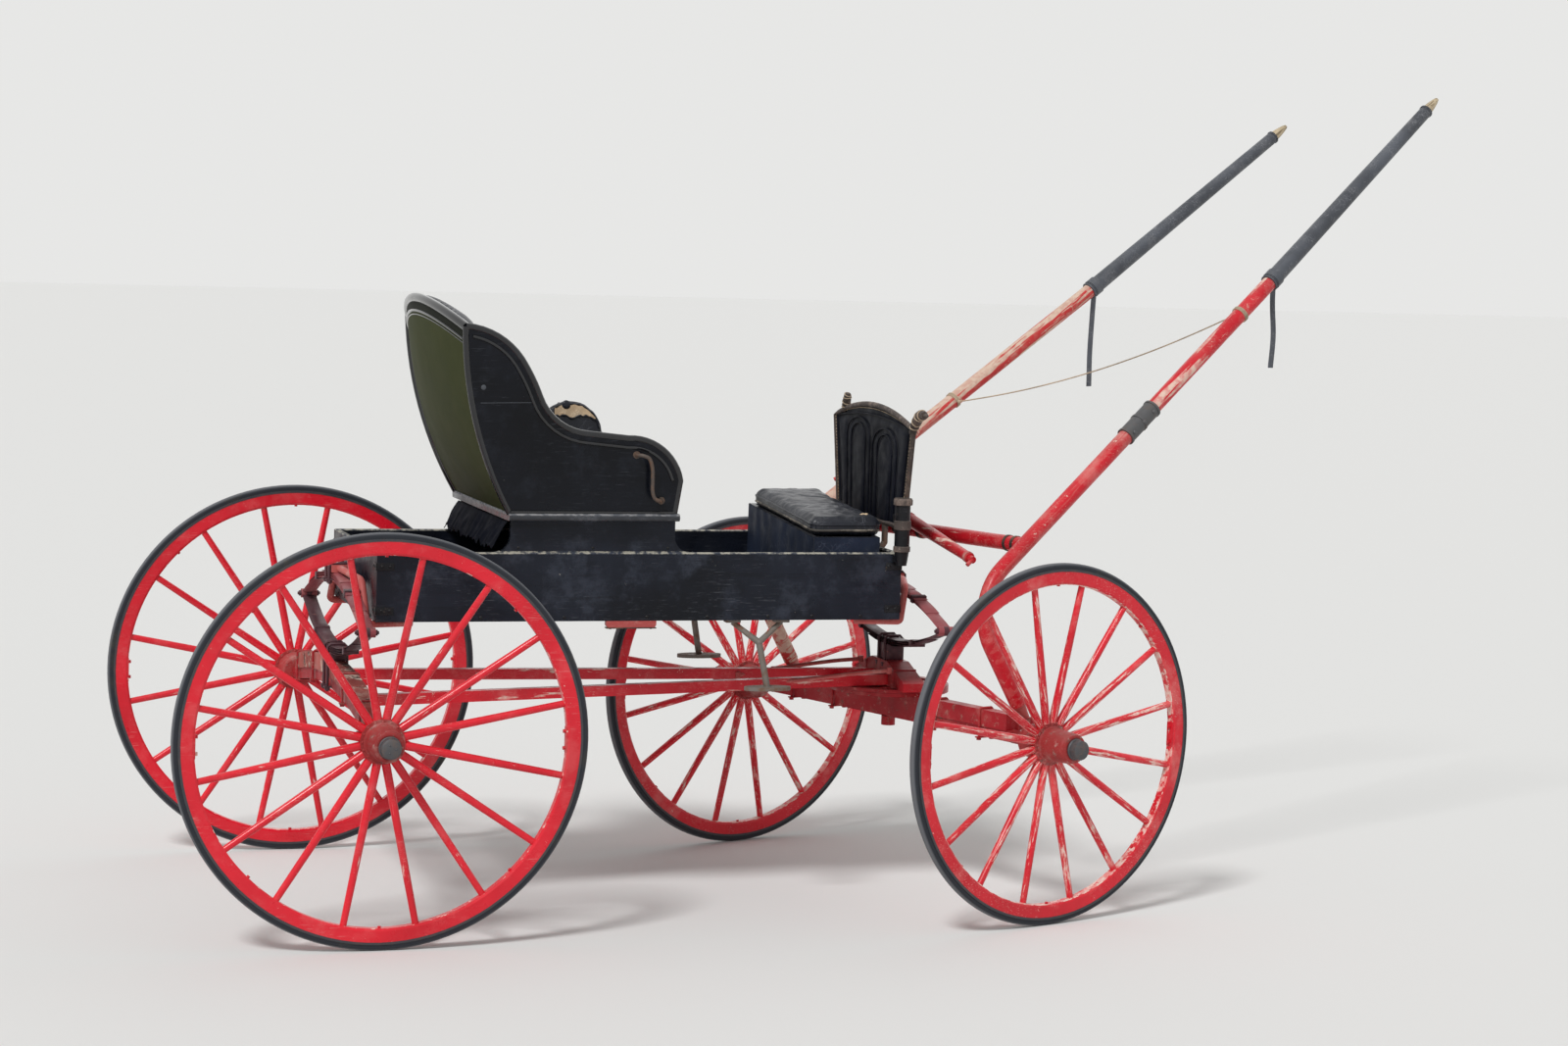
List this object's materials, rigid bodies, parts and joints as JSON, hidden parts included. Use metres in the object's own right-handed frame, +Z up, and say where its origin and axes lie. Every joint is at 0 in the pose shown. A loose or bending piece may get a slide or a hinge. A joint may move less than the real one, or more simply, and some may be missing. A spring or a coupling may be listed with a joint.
{
  "type": "horse drawn carriage",
  "caption": "Light four-wheeled driving buggy: box body, high-backed seat, child's seat, dash, elliptic springs, fifth wheel, spoked wheels and raised shafts.",
  "frame": {"origin": "on the ground under the middle of the vehicle's box with the shafts raised", "axes": "+X forward, +Y to the vehicle's left, +Z up"},
  "size_m": [3.9532, 1.8159, 2.3194],
  "materials": {
    "black_wood": "worn gloss paint",
    "black_leather": "worn and wrinkled",
    "black_iron": "weathered black paint",
    "red_iron": "faded and chipped",
    "red_wood": "chipped gloss paint",
    "tyre": "aged"
  },
  "bodies": {
    "carriage": {"floor_boards": "black_wood", "body_panels": "black_wood", "seat_riser": "black_wood", "seat_board": "black_wood", "seat_sides": "black_wood", "seat_back": "black_wood", "seat_cushion": "black_leather", "seat_back_pad": "black_leather", "seat_arm_pads": "black_leather", "seat_curtain": "black_leather", "grab_handles": "black_iron", "jump_seat": "black_leather", "jump_seat_box": "black_wood", "dash_frame": "black_iron", "dash_leather": "black_leather", "whip_socket": "black_iron", "steps": "black_iron", "body_loops": "red_iron", "rear_spring": "red_iron", "front_spring": "red_iron", "rear_axle": "red_iron", "rear_axle_bed": "red_wood", "reaches": "red_wood", "head_block": "red_wood", "fifth_wheel_upper": "red_iron"},
    "front_axle": {"front_axle": "red_iron", "front_axle_bed": "red_wood", "fifth_wheel_lower": "red_iron", "shaft_couplings": "red_iron"},
    "rear_right_wheel": {"rear_right_hub": "red_iron", "rear_right_spokes": "red_wood", "rear_right_tyre": "tyre"},
    "rear_left_wheel": {"rear_left_hub": "red_iron", "rear_left_spokes": "red_wood", "rear_left_tyre": "tyre"},
    "front_right_wheel": {"front_right_hub": "red_iron", "front_right_spokes": "red_wood", "front_right_tyre": "tyre"},
    "front_left_wheel": {"front_left_hub": "red_iron", "front_left_spokes": "red_wood", "front_left_tyre": "tyre"},
    "shafts": {"shaft_right": "red_wood", "shaft_left": "red_wood", "shaft_crossbar": "red_wood", "shaft_covers": "black_leather", "shaft_irons": "red_iron"},
    "singletree": {"singletree": "red_wood"}
  },
  "joints": [
    {"name": "rear_right_wheel_spin", "type": "hinge", "parent": "carriage", "child": "rear_right_wheel", "pos_m": [-1.439, -0.771, 0.538], "axis": [0, 1, 0], "continuous": true},
    {"name": "rear_left_wheel_spin", "type": "hinge", "parent": "carriage", "child": "rear_left_wheel", "pos_m": [-1.439, 0.651, 0.538], "axis": [0, 1, 0], "continuous": true},
    {"name": "steering", "type": "hinge", "parent": "carriage", "child": "front_axle", "pos_m": [0.167, -0.06, 0.496], "axis": [0, 0, 1], "range_deg": [-20, 2]},
    {"name": "front_right_wheel_spin", "type": "hinge", "parent": "front_axle", "child": "front_right_wheel", "pos_m": [0.41018, -0.72812, 0.496], "axis": [-0.342, 0.9397, 0], "continuous": true},
    {"name": "front_left_wheel_spin", "type": "hinge", "parent": "front_axle", "child": "front_left_wheel", "pos_m": [-0.07618, 0.60812, 0.496], "axis": [-0.342, 0.9397, 0], "continuous": true},
    {"name": "shaft_lift", "type": "hinge", "parent": "front_axle", "child": "shafts", "pos_m": [0.23278, -0.03606, 0.527], "axis": [0.342, -0.9397, 0], "range_deg": [-57, 1]},
    {"name": "singletree_swing", "type": "hinge", "parent": "shafts", "child": "singletree", "pos_m": [0.19882, -0.04842, 1.05498], "axis": [-0.559, -0.2034, 0.8039], "range_deg": [-11, 5]}
  ]
}
